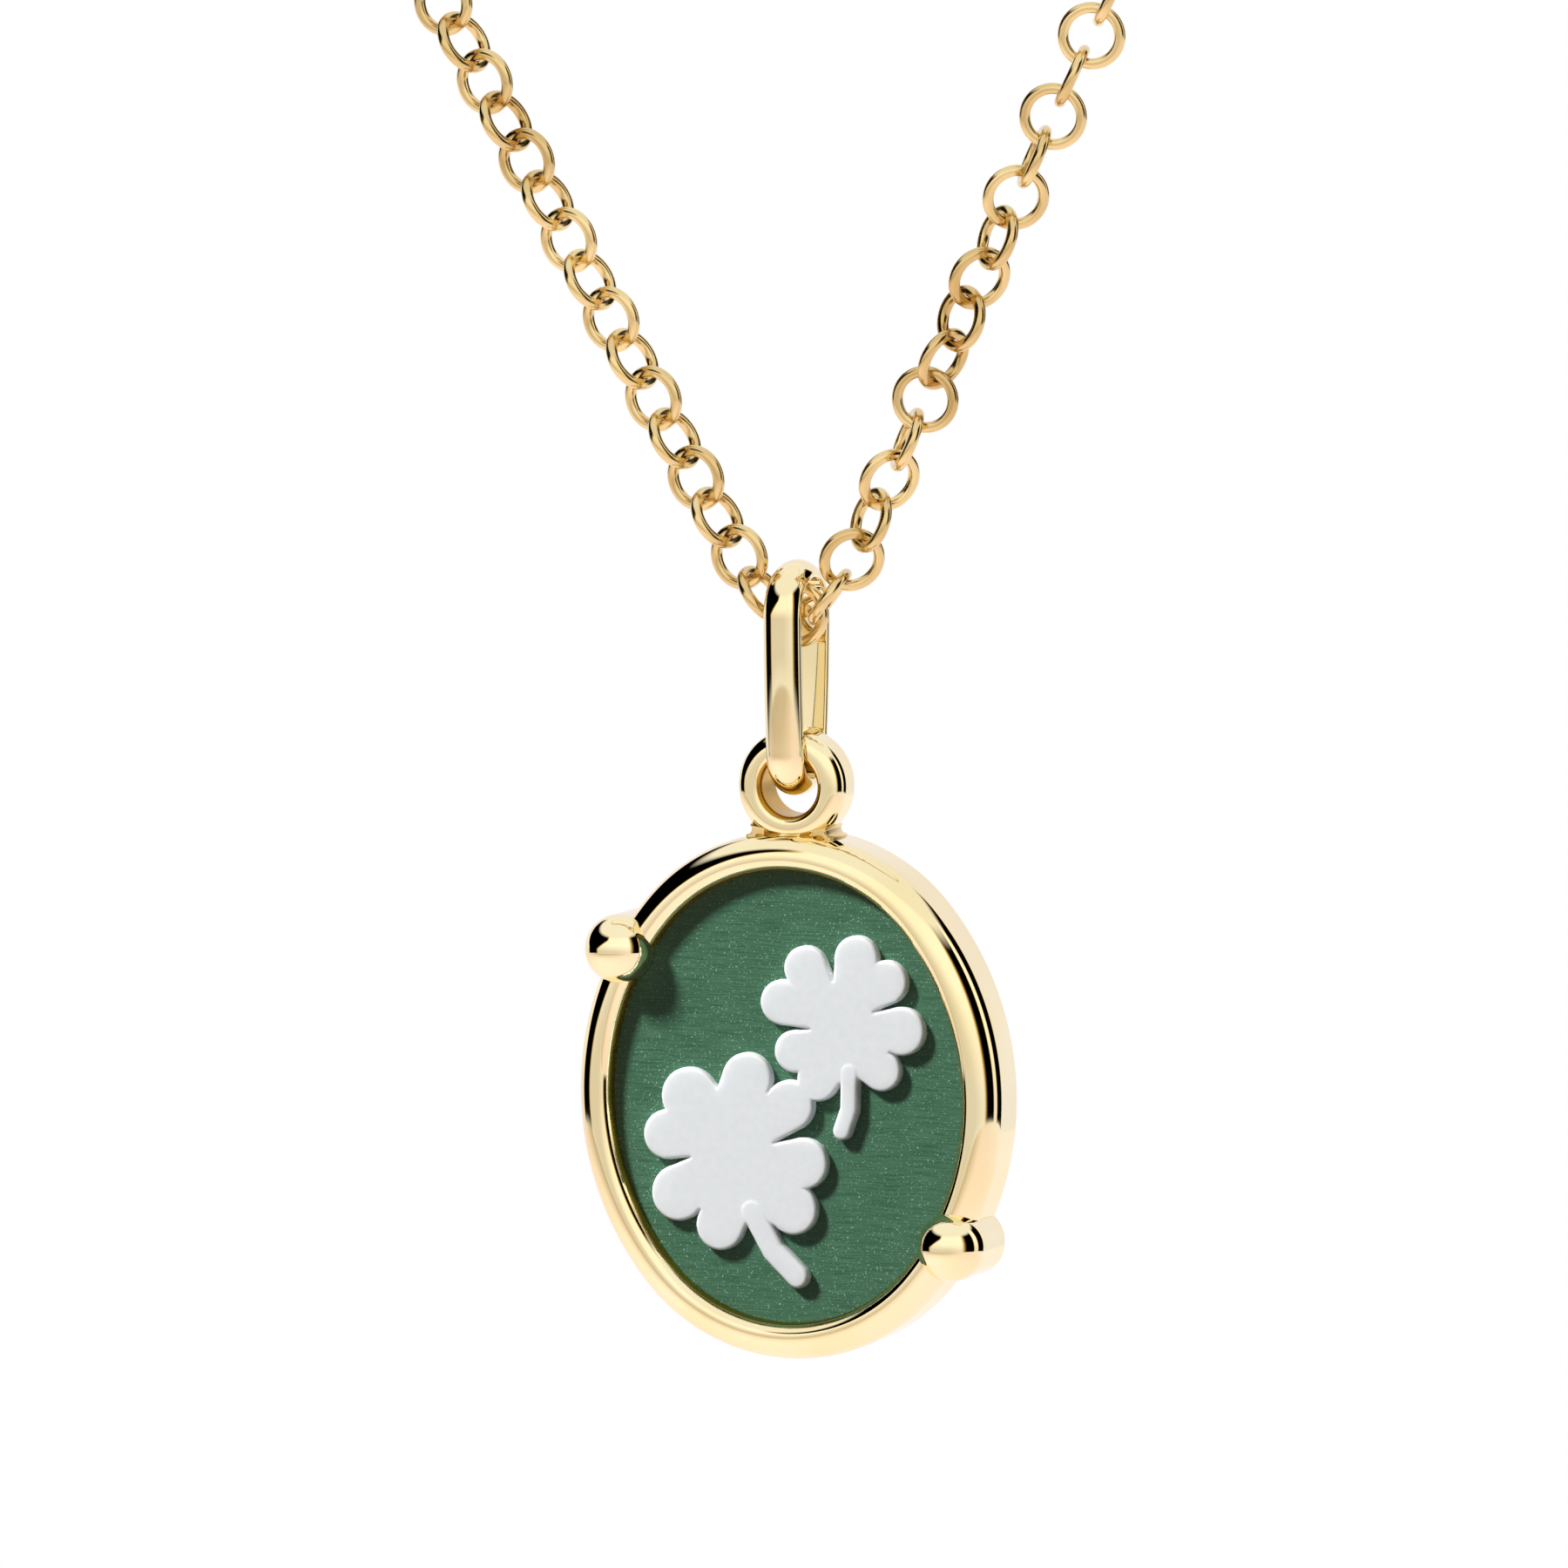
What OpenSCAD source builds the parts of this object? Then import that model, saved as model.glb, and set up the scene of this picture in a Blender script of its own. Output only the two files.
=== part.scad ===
// Four leaf clover pendant on its chain, in millimetres.
// The origin is the middle of the clasp at the nape. +Z is up and the pendant faces -Y.

/* [Neck] */
// Height of the nape above the point where the pendant hangs
neck_drop = 122; // [100:1:160]
// Distance from the nape forward to the pendant
neck_reach = 75; // [60:1:100]

/* [Chain] */
// Outer diameter of a link
link_d = 2.6; // [2.2:0.05:3.4]
// Thickness of a link's wire
link_wire = 0.36; // [0.28:0.01:0.5]
// Play between two links that hold each other
link_gap = 0.14; // [0.12:0.01:0.3]
// Flattening of the link that carries the bail, at each end
link_sag = 0.04; // [0.02:0.01:0.1]

/* [Clasp] */
// Length of the clasp's barrel
barrel_l = 6; // [4:0.5:12]
// Diameter of the clasp's barrel
barrel_d = 2.4; // [2:0.1:4]
// Slope at the ends of the barrel
barrel_edge = 0.5; // [0.2:0.1:0.8]
// Diameter of an eye of the clasp, at the middle of its wire
eye_d = 1.9; // [1.7:0.1:3]
// Thickness of an eye's wire
eye_wire = 0.5; // [0.4:0.05:0.7]

/* [Bail] */
// Height of the bail
bail_h = 9.08; // [7.5:0.1:12]
// Width of the bail's band
bail_w = 1.48; // [1:0.02:1.6]
// Thickness of the bail's band at its middle
bail_t = 0.68; // [0.5:0.02:0.9]
// Thickness of the bail's band at its edges
bail_edge = 0.24; // [0.15:0.02:0.4]
// Play between the bail and the link that carries it
bail_gap = 0.11; // [0.1:0.01:0.3]

/* [Top ring] */
// Diameter of the hole in the top ring
hole_d = 2.3; // [2:0.02:2.8]
// Width of the top ring's band
ring_band = 1.03; // [0.7:0.02:1.4]
// Depth of the top ring from front to back
ring_depth = 2; // [1.6:0.05:2.6]
// Rounding of the top ring's outer edges
ring_round = 0.5; // [0.1:0.02:0.6]
// Rounding of the top ring's hole
hole_round = 0.14; // [0.05:0.01:0.3]
// Play between the top ring and the sides of the bail
ring_side_gap = 0.1; // [0.1:0.01:0.3]
// Play between the top ring and the foot of the bail that carries it
seat_gap = 0.2; // [0.1:0.01:0.3]
// Depth that the top ring sinks into the frame, where it is soldered
ring_sink = 0.42; // [0.2:0.02:0.5]
// Radius of the solder fillet beside the top ring
solder_r = 0.28; // [0.15:0.01:0.4]

/* [Frame] */
// Width of the oval frame
oval_w = 17.2; // [15:0.1:18.4]
// Height of the oval frame
oval_h = 20.3; // [19:0.1:24]
// Width of the frame's rounded rim
rim_w = 1.45; // [1.2:0.05:2]
// Depth of the frame from its crest to its back
frame_depth = 2.8; // [2.4:0.05:4]
// Distance of the crest in front of the line that the pendant hangs from
crest_ahead = 1.58; // [1.2:0.01:1.8]
// Thickness of the frame's back
back_t = 0.5; // [0.3:0.05:0.8]
// Slope along the frame's back edge
back_edge = 0.15; // [0.05:0.01:0.3]

/* [Posts] */
// Diameter of a post and its ball
post_d = 2.65; // [2:0.05:3.2]
// Turn of the posts round the side arcs of the oval, in degrees
post_turn = 29.4; // [22:0.1:34]
// Distance of a post's axis inside the outer edge of the frame
post_in = 0.36; // [0.1:0.02:0.8]
// Distance of a ball's front ahead of the rim's crest
post_ahead = 0.98; // [0.6:0.02:1.3]
// Slope round the back end of a post
post_edge = 0.2; // [0.1:0.02:0.4]

/* [Stone] */
// Depth of the stone's face below the rim's crest
stone_sink = 0.7; // [0.6:0.02:0.9]
// Width of the lip that holds the stone in
stone_lip = 0.25; // [0.15:0.01:0.4]
// Play round the edge of the stone
stone_gap = 0.05; // [0.03:0.01:0.1]
// Play between the lip and the stone's face
lip_gap = 0.03; // [0.02:0.01:0.08]

/* [Clovers] */
// Height of the white relief above the stone
relief_t = 0.42; // [0.2:0.02:0.6]
// Distance from the centre of the large clover to its round lobes
big_reach = 2.86; // [2.4:0.02:3.2]
// Place of the large clover's centre left of the middle
big_left = 2; // [1.6:0.05:2.6]
// Place of the large clover's centre below the middle
big_below = 2.25; // [1.8:0.05:2.8]
// Width of the large clover's stem
big_stem_w = 0.92; // [0.6:0.02:1.2]
// Distance from the centre of the small clover to its round lobes
small_reach = 2.45; // [2.1:0.02:2.7]
// Width of the small clover's stem
small_stem_w = 0.74; // [0.5:0.02:1]
// Overlap of the two lobes where the clovers touch
clover_join = 0.27; // [0.15:0.01:0.5]
// Direction of the small clover's lobe from the large one's, where they touch, in degrees
join_turn = 42; // [30:1:60]

/* [Hidden] */
$fn = 96;
LINK_FN = 48;

// The place where the bail hangs: the centre of the link that carries it
HANG = [0, -neck_reach, -neck_drop];

// The chain's contacts are one pitch apart, and a link lies between each two of them
PITCH = link_d - 2 * link_wire - link_gap;
LINK_R = (link_d - link_wire) / 2;
CLASP_HALF = barrel_l / 2 + eye_d - (eye_wire + link_gap) / 2;

// The chain's route, left and right of the bail: millimetres outwards, and shares of the way back
// and up from HANG to the nape. The points are chosen by hand.
ROUTE = [
    [
        [7, 0, 0.082], [12.8, 0, 0.164], [18.7, 0.007, 0.246], [30, 0.067, 0.41], [41, 0.16, 0.574],
        [50, 0.293, 0.738], [56, 0.48, 0.852], [54, 0.693, 0.926], [42, 0.88, 0.975], [24, 0.987, 1]
    ],
    [
        [6, 0, 0.082], [10.7, 0, 0.164], [15.7, 0.007, 0.246], [27, 0.067, 0.41], [39, 0.16, 0.574],
        [49.5, 0.293, 0.738], [56, 0.48, 0.852], [54, 0.693, 0.926], [42, 0.88, 0.975], [24, 0.987, 1]
    ]
];

// Extra turn of the links about the chain, left and right, in degrees by their count from the bail
TWIST = [
    [[0, 0], [1, -8], [2, -17], [15, -17], [19, 5], [200, 5]],
    [
        [0, 0], [1, 10], [2, 40], [4, 54], [5, 28], [6, 10], [7, -18], [8, -32], [10, -44],
        [12, -66], [13, -74], [200, -74]
    ]
];

// Oval frame as four arcs: two round its ends and two along its sides
OVAL_A = oval_w / 2;
OVAL_B = oval_h / 2;
OVAL_DIAG = sqrt(OVAL_A * OVAL_A + OVAL_B * OVAL_B);
END_R = (OVAL_DIAG - OVAL_B + OVAL_A) / 2 * OVAL_DIAG / OVAL_B;
SIDE_R = (OVAL_DIAG + OVAL_B - OVAL_A) / 2 * OVAL_DIAG / OVAL_A;
END_C = OVAL_B - END_R;
SIDE_C = SIDE_R - OVAL_A;
ARC_TURN = atan2(END_C, SIDE_C);
// The arcs meet in the line from an end arc's centre to this point, far outside the oval
MEET_C = kept(END_C);
MEET_FAR = [kept(oval_h * cos(ARC_TURN)), kept(END_C + oval_h * sin(ARC_TURN))];
// Depth inwards from the edge to which the arcs are turned; a plain block fills the middle
TURNED_IN = 5;

// Depths in the pendant, counted forward from the line that it hangs from
CREST = crest_ahead;
BACK = crest_ahead - frame_depth;
STONE_FACE = CREST - stone_sink;
FLOOR = BACK + back_t;
BALL_FRONT = CREST + post_ahead;

// Distance of a post's axis from the centre of the side arc
POST_R = SIDE_R - post_in;

// The bail's arcs: round the link at the top and round the top ring at its foot
ARCH_R = link_d / 2 + bail_gap;
FOOT_R = ring_depth / 2 + ring_side_gap;
FOOT_DROP = bail_h - ARCH_R - FOOT_R - 2 * bail_t;
LIMB_TURN = asin((FOOT_R - ARCH_R) / FOOT_DROP);
// The limbs are this much slimmer than the arcs on every side, and reach this far into them
LIMB_SLIM = 0.01;
LIMB_REACH = 0.1;

// The top ring's hole rests with the edges of its flat wall on the bail's foot
HOLE_R = hole_d / 2;
RING_R = HOLE_R + ring_band;
HOLE_FLAT = ring_depth / 2 - hole_round;
RING_DROP = FOOT_DROP + sqrt(FOOT_R * FOOT_R - HOLE_FLAT * HOLE_FLAT) - seat_gap
    + sqrt(HOLE_R * HOLE_R - bail_w * bail_w / 4);
FRAME_DROP = RING_DROP + RING_R - ring_sink + OVAL_B;

// Round lobes of each clover, two to a leaf: angle, reach and radius, as shares of its own reach
BIG_LOBES = [
    [42, 1.01, 0.343], [82, 1.02, 0.354], [133, 1.01, 0.393], [168, 1.025, 0.336],
    [214, 1.02, 0.377], [256, 1.01, 0.338], [318, 1.08, 0.343], [354, 0.95, 0.349]
];
SMALL_LOBES = [
    [43, 0.94, 0.348], [79, 1.01, 0.365], [129, 1.04, 0.357], [166, 1.08, 0.357],
    [211, 0.975, 0.335], [244, 1.04, 0.34], [309, 0.965, 0.323], [353, 0.95, 0.384]
];
// Tips of the cuts between the leaves, after lobes 1, 3, 5 and 7: angle and reach
BIG_CUTS = [[108, 0.92], [187, 0.67], [287, 0.8], [17, 0.56]];
SMALL_CUTS = [[107, 0.66], [194, 0.6], [276, 0.8], [19, 0.52]];
// Middle line of a stem: angle and reach
BIG_STEM = [[286, 0.8], [292, 1.4], [298, 1.84]];
SMALL_STEM = [[276, 0.8], [273, 1.39], [268.5, 1.72]];
// Lobe of each clover that touches the other
BIG_TOUCH = 0;
SMALL_TOUCH = 5;
BIG_C = [-big_left, -big_below];
BIG_TOUCH_R = BIG_LOBES[BIG_TOUCH][2] * big_reach;
SMALL_TOUCH_R = SMALL_LOBES[SMALL_TOUCH][2] * small_reach;
SMALL_C = BIG_C + lobe_c(BIG_LOBES[BIG_TOUCH], big_reach)
    + polar(join_turn, BIG_TOUCH_R + SMALL_TOUCH_R - clover_join)
    - lobe_c(SMALL_LOBES[SMALL_TOUCH], small_reach);

// Straight sides run a little inside the circles that they meet, so that the outlines cross cleanly
LEAN_IN = 0.99;
BAR = 0.98;
// Share of the top ring's depth that the solder fills
SOLDER_DEPTH = 0.7;

GOLD = [0.93, 0.78, 0.48];
CHAIN_GOLD = [0.9, 0.72, 0.4];
GREEN = [0.14, 0.36, 0.27];
WHITE = [0.93, 0.94, 0.95];

function polar(turn, r) = r * [cos(turn), sin(turn)];
function unit(v) = v / norm(v);
function kept(x) = round(x * 1000) / 1000;
function last(p) = p[len(p) - 1];

// Corners of a line of points, rounded by cutting them again and again
function rounded(p, times) = times == 0 ? p : rounded(concat(
    [p[0]],
    [for (i = [0:len(p) - 2]) each [(3 * p[i] + p[i + 1]) / 4, (p[i] + 3 * p[i + 1]) / 4]],
    [last(p)]
), times - 1);

// Distance along a line of points, up to each of them
function distances(p) = [
    for (i = 0, s = 0; i < len(p); s = s + (i + 1 < len(p) ? norm(p[i + 1] - p[i]) : 0), i = i + 1) s
];

// A side's route from the hanging link, round the hand-chosen points, straight into the clasp's eye
function whole_route(k) = concat(
    [[PITCH / 2 - link_sag, 0, 0], PITCH * [1.12, 0, 0.765]],
    [for (p = ROUTE[k]) [p[0], p[1] * neck_reach, p[2] * neck_drop]],
    [[CLASP_HALF + 2 * link_d, neck_reach, neck_drop], [CLASP_HALF, neck_reach, neck_drop]]
);

// Contacts of a side's links, evenly spaced and no more than a pitch apart
function contacts(k) =
    let (
        p = rounded(whole_route(k), 4),
        d = distances(p),
        tables = [for (axis = [0:2]) [for (i = [0:len(p) - 1]) [d[i], p[i][axis]]]],
        count = ceil(last(d) / PITCH),
        step = last(d) / count
    )
    [for (i = [0:count]) HANG + [
        (2 * k - 1) * lookup(i * step, tables[0]), lookup(i * step, tables[1]), lookup(i * step, tables[2])
    ]];

// Axes of a link that runs along t, turned by roll about it
function link_axes(t, roll) =
    let (u = unit(cross(t, [0, 1, 0])), v = cross(t, u), w = cos(roll) * u + sin(roll) * v)
    [t, w, cross(t, w)];

function link_roll(i, k) = 90 * i + lookup(i, TWIST[k]);

// Centre and radius of a clover's lobe, and the points where its outline meets a cut
function lobe_c(lobe, reach) = polar(lobe[0], lobe[1] * reach);
function tangent(tip, c, r, side) =
    let (d = c - tip, far = norm(d), in = LEAN_IN * r)
    let (turn = atan2(d[1], d[0]) + side * asin(min(1, in / far)))
    tip + polar(turn, sqrt(max(0, far * far - in * in)));

// A solid between two depths, drawn as its front view
module slab(front, back) {
    translate([0, -back, 0]) rotate([90, 0, 0]) linear_extrude(front - back) children();
}

// Pendant pieces are drawn about the centre of the oval and hung in place
module hung() {
    translate(HANG - [0, 0, FRAME_DROP]) children();
}

// A box section whose inner and outer corners have their own radii
module soft_box(x0, x1, y0, y1, inner_r, outer_r) {
    for (y = [y0, y1]) {
        s = y == y0 ? 1 : -1;
        translate([x0 + inner_r, y + s * inner_r]) circle(inner_r);
        translate([x1 - outer_r, y + s * outer_r]) circle(outer_r);
    }
    polygon([
        [x0 + inner_r, y0], [x1 - outer_r, y0], [x1, y0 + outer_r], [x1, y1 - outer_r],
        [x1 - outer_r, y1], [x0 + inner_r, y1], [x0, y1 - inner_r], [x0, y0 + inner_r]
    ]);
}

// A move in a large and a small step: numbers are passed on with six digits, and this keeps more
module exact_move(v) {
    large = [for (x = v) kept(x)];
    translate(large) translate(v - large) children();
}

// Something in the front view, and the same turned half round
module both_ways() {
    children();
    rotate([0, 180, 0]) children();
}

// A section drawn inwards from the frame's edge and turned about the centre of an arc
module arc(c, r) {
    exact_move([c[0], 0, c[1]]) rotate([90, 0, 0]) rotate_extrude() exact_move([r, 0]) children();
}

// Regions of the front view that belong to the upper end arc and the left side arc
module end_region() {
    polygon([[0, MEET_C], MEET_FAR, [-MEET_FAR[0], MEET_FAR[1]]]);
}

module side_region() {
    polygon([[0, MEET_C], [-MEET_FAR[0], MEET_FAR[1]], -MEET_FAR, [0, -MEET_C]]);
}

module end_arc() {
    intersection() {
        arc([0, END_C], END_R) children();
        slab(2 * CREST, 2 * BACK) end_region();
    }
}

module side_arc() {
    intersection() {
        arc([SIDE_C, 0], SIDE_R) children();
        slab(2 * CREST, 2 * BACK) side_region();
    }
}

// A block that fills the middle of the oval between two depths
module middle(front, back) {
    slab(front, back) square([oval_w - 2 * TURNED_IN + 2, oval_h - 2 * TURNED_IN + 2], center = true);
}

// Section of the frame, from its outer edge inwards and from its back to its crest
module frame_section() {
    shoulder = CREST - rim_w / 2;
    difference() {
        union() {
            translate([-rim_w / 2, shoulder]) circle(rim_w / 2);
            polygon([
                [-TURNED_IN, BACK], [-back_edge, BACK], [0, BACK + back_edge], [0, shoulder],
                [-rim_w, shoulder], [-rim_w, FLOOR], [-TURNED_IN, FLOOR]
            ]);
        }
        pocket_section(stone_lip, STONE_FACE);
    }
}

// Section of the stone's pocket, under the lip
module pocket_section(lip, face) {
    translate([-TURNED_IN, FLOOR]) square([TURNED_IN - rim_w + lip, face - FLOOR]);
}

// A post with a ball at its front, as deep as the frame
module post() {
    r = post_d / 2;
    ball = BALL_FRONT - r;
    rotate([90, 0, 0]) rotate_extrude() {
        intersection() {
            translate([0, ball]) circle(r);
            translate([0, ball]) square([2 * r, 2 * r]);
        }
        polygon([[0, BACK], [r - post_edge, BACK], [r, BACK + post_edge], [r, ball], [0, ball]]);
    }
}

// The upper left post, cut where the stone lies
module placed_post() {
    difference() {
        exact_move([SIDE_C - POST_R * cos(post_turn), 0, POST_R * sin(post_turn)]) post();
        arc([SIDE_C, 0], SIDE_R) pocket_section(stone_lip, STONE_FACE);
    }
}

// The ring on top of the frame and the solder beside its foot
module top_ring() {
    ring_z = FRAME_DROP - RING_DROP;
    translate([0, 0, ring_z]) rotate([90, 0, 0]) rotate_extrude()
        soft_box(HOLE_R, RING_R, -ring_depth / 2, ring_depth / 2, hole_round, ring_round);
    difference() {
        solder(ring_z);
        translate([0, 0, ring_z]) rotate([90, 0, 0])
            cylinder(r = HOLE_R + ring_band / 2, h = 2 * ring_depth, center = true);
    }
}

module solder(ring_z) {
    fillet_z = OVAL_B + solder_r - ring_sink / 2;
    fillet_x = sqrt((RING_R + solder_r) * (RING_R + solder_r) - (ring_z - fillet_z) * (ring_z - fillet_z));
    touch = [fillet_x, fillet_z - ring_z] * RING_R / (RING_R + solder_r);
    depth = SOLDER_DEPTH * ring_depth / 2;
    slab(depth, -depth) difference() {
        polygon([
            [-fillet_x, OVAL_B - rim_w / 2], [fillet_x, OVAL_B - rim_w / 2], [fillet_x, fillet_z - solder_r],
            [touch[0], touch[1] + ring_z], [-touch[0], touch[1] + ring_z], [-fillet_x, fillet_z - solder_r]
        ]);
        for (side = [-1, 1]) translate([side * fillet_x, fillet_z]) circle(solder_r);
    }
}

module frame() {
    color(GOLD) hung() {
        both_ways() {
            end_arc() frame_section();
            side_arc() frame_section();
            placed_post();
        }
        middle(FLOOR, BACK);
        top_ring();
    }
}

module stone() {
    face = STONE_FACE - lip_gap;
    color(GREEN) hung() {
        both_ways() {
            end_arc() pocket_section(stone_lip - stone_gap, face);
            side_arc() pocket_section(stone_lip - stone_gap, face);
        }
        middle(face, FLOOR);
    }
}

// Front view of one clover: eight round lobes, and straight sides that run into the cuts
module clover(c, reach, lobes, cuts) {
    translate(c) {
        for (lobe = lobes) translate(lobe_c(lobe, reach)) circle(lobe[2] * reach);
        polygon([for (k = [0:3]) each (
            let (
                tip = polar(cuts[k][0], cuts[k][1] * reach),
                a = lobes[2 * k + 1],
                b = lobes[(2 * k + 2) % 8]
            )
            [
                lobe_c(a, reach), tangent(tip, lobe_c(a, reach), a[2] * reach, 1), tip,
                tangent(tip, lobe_c(b, reach), b[2] * reach, -1), lobe_c(b, reach)
            ]
        )]);
    }
}

// Front view of a stem: bars of one width from point to point, round at each point
module stem(c, reach, line, w) {
    points = [for (row = line) c + polar(row[0], row[1] * reach)];
    for (i = [0:len(points) - 2]) {
        across = BAR * w / 2 * unit([points[i][1] - points[i + 1][1], points[i + 1][0] - points[i][0]]);
        polygon([points[i] + across, points[i] - across, points[i + 1] - across, points[i + 1] + across]);
        translate(points[i + 1]) circle(w / 2);
    }
}

module clover_relief() {
    color(WHITE) hung() slab(STONE_FACE - lip_gap + relief_t, STONE_FACE - lip_gap) {
        clover(BIG_C, big_reach, BIG_LOBES, BIG_CUTS);
        stem(BIG_C, big_reach, BIG_STEM, big_stem_w);
        clover(SMALL_C, small_reach, SMALL_LOBES, SMALL_CUTS);
        stem(SMALL_C, small_reach, SMALL_STEM, small_stem_w);
    }
}

// Section of the bail's band, flat inside and round outside, and slimmer on every side by slim
module bail_section(inner, slim) {
    rise = bail_t - bail_edge;
    arc_r = (bail_w * bail_w / 4 + rise * rise) / (2 * rise);
    intersection() {
        translate([inner + bail_t - arc_r, 0]) circle(arc_r - slim);
        translate([inner + slim, slim - bail_w / 2]) square([2 * bail_t, bail_w - 2 * slim]);
    }
}

// A bail arc about a line from side to side, from one direction in its side view to another
module bail_arc(inner, from, to) {
    rotate([0, 90, 0]) rotate([0, 0, from + 90]) rotate_extrude(angle = to - from) bail_section(inner, 0);
}

module bail_limb() {
    rotate([0, 90, 0]) rotate([0, 0, LIMB_TURN + 90]) rotate([90, 0, 0]) translate([0, 0, -LIMB_REACH])
        linear_extrude(FOOT_DROP * cos(LIMB_TURN) + 2 * LIMB_REACH) bail_section(ARCH_R, LIMB_SLIM);
}

module bail() {
    color(GOLD) translate(HANG) {
        bail_arc(ARCH_R, LIMB_TURN, 180 - LIMB_TURN);
        bail_limb();
        mirror([0, 1, 0]) bail_limb();
        translate([0, 0, -FOOT_DROP]) bail_arc(FOOT_R, 180 - LIMB_TURN, 360 + LIMB_TURN);
    }
}

// One ring of round wire, in the plane of its first two axes
module wire_ring(c, axes, middle_r, wire_r) {
    multmatrix([for (k = [0:2]) [axes[0][k], axes[1][k], axes[2][k], c[k]]])
        rotate_extrude($fn = LINK_FN) translate([middle_r, 0]) circle(wire_r, $fn = LINK_FN);
}

module link(a, b, roll) {
    wire_ring((a + b) / 2, link_axes(unit(b - a), roll), LINK_R, link_wire / 2);
}

module strand(k) {
    c = contacts(k);
    for (i = [1:len(c) - 1]) link(c[i - 1], c[i], link_roll(i, k));
}

module chain() {
    color(CHAIN_GOLD) {
        link(HANG - [LINK_R, 0, 0], HANG + [LINK_R, 0, 0], 0);
        strand(0);
        strand(1);
    }
}

// An eye of the clasp, square to the last link of its side
module clasp_eye(k) {
    side = 2 * k - 1;
    last_roll = link_roll(len(contacts(k)) - 1, k);
    axes = link_axes([-side, 0, 0], last_roll + 90);
    wire_ring([side * (barrel_l + eye_d) / 2, 0, 0], axes, eye_d / 2, eye_wire / 2);
}

module clasp() {
    color(CHAIN_GOLD) {
        rotate([0, 90, 0]) rotate_extrude() polygon([
            [0, -barrel_l / 2], [barrel_d / 2 - barrel_edge, -barrel_l / 2],
            [barrel_d / 2, barrel_edge - barrel_l / 2], [barrel_d / 2, barrel_l / 2 - barrel_edge],
            [barrel_d / 2 - barrel_edge, barrel_l / 2], [0, barrel_l / 2]
        ]);
        clasp_eye(0);
        clasp_eye(1);
    }
}

chain();
clasp();
bail();
frame();
stone();
clover_relief();
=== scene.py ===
import math

import bpy
import numpy as np
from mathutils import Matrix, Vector

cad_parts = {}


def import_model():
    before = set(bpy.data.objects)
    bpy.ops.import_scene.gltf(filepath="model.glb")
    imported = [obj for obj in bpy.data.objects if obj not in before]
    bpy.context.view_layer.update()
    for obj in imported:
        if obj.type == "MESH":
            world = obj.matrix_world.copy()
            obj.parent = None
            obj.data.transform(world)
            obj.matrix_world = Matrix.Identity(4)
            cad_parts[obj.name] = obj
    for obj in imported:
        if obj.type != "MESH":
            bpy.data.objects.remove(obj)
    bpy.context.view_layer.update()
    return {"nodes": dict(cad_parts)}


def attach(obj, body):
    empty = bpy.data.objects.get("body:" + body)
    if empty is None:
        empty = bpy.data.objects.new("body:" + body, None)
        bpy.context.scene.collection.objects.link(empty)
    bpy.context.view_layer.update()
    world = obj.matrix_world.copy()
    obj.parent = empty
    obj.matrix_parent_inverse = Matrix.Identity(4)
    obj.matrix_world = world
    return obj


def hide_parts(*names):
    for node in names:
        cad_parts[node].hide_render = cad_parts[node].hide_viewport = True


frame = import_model()

# Sizes in millimetres, from the CAD source except where a line calls them the scene's own.
# x is to the right, y back and z up; forward is towards the viewer, which is -y.
NECK_REACH, NECK_DROP = 75.0, 122.0
HANG = np.array([0.0, -NECK_REACH, -NECK_DROP])     # where the bail hangs
PITCH, LINK_D, LINK_OUT, CLASP_HALF = 1.74, 2.6, 1.30, 4.58
LINK_THICK, LINK_HALF = 0.43, 0.215                 # the scene's own: wire's width, half its height
ARCH_R, FOOT_R, FOOT_DROP = 1.41, 1.1, 5.21
BAIL_W, BAIL_T, BAIL_EDGE = 1.48, 0.68, 0.24
BAIL_SOFT, BAIL_BULGE = 0.035, 0.24                 # the scene's own: edges, curve of the limbs
LIMB_TURN = math.asin((FOOT_R - ARCH_R) / FOOT_DROP)
OVAL_Z = -140.48614                                 # height of the oval's centre
END_R, END_C = 7.70257, 2.44743                     # arcs at top and bottom: radius, centre
SIDE_R, SIDE_C = 11.48854, 2.88854                  # arcs at the sides: radius, centre
ARC_TURN = math.degrees(math.atan2(END_C, SIDE_C))
OVAL_B = 10.15                                      # half the oval's height
RIM_W, LIP = 1.45, 0.25
TOP_IN, ROUND_F = 0.96, 1.05                        # the scene's own: crest's place, outer depth
CREST, BACK, FLOOR, STONE_FACE, STONE_TOP = 1.58, -1.22, -0.72, 0.88, 0.85
POST_R, POST_AXIS_R, POST_TURN, BALL_FRONT = 1.325, 11.12854, 29.4, 2.56
RING_Z, HOLE_R, RING_R, RING_HALF = 11.91, 1.15, 2.18, 1.0
HOLE_ROUND, RING_ROUND = 0.30, 0.60                 # the scene's own
RELIEF_T, JOIN_OVERLAP, JOIN_TURN = 0.42, 0.27, 42
RELIEF_EDGE, STEM_LIFT, STEM_BLEND = 0.12, 0.035, 0.14      # the scene's own

NEAR_LINKS = 20                                     # links of a strand with the finer mesh
NEAR_STEPS, FAR_STEPS = (72, 20), (30, 12)          # points round a link, and round its wire
OVAL_STEPS = 110                                    # stations on each of the oval's arcs
RING_STEPS = 144
RELIEF_CELL = 0.042

CAMERA_TURN, CAMERA_RISE = 21, 6                    # degrees to the right, and up


def place(x, f, z):
    """World points in metres from the pendant's own x, forward and up, in millimetres."""
    x, f, z = np.broadcast_arrays(x, f, z)
    return np.stack([x, -NECK_REACH - f, z + OVAL_Z], axis=-1) * 0.001


def volume(points, faces):
    """Six times the volume, negative where the faces look inwards."""
    fans = [(f[0], f[i], f[i + 1]) for f in faces for i in range(1, len(f) - 1)]
    a, b, c = points[np.array(fans)].transpose(1, 0, 2)
    return float((a * np.cross(b, c)).sum())


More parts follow.
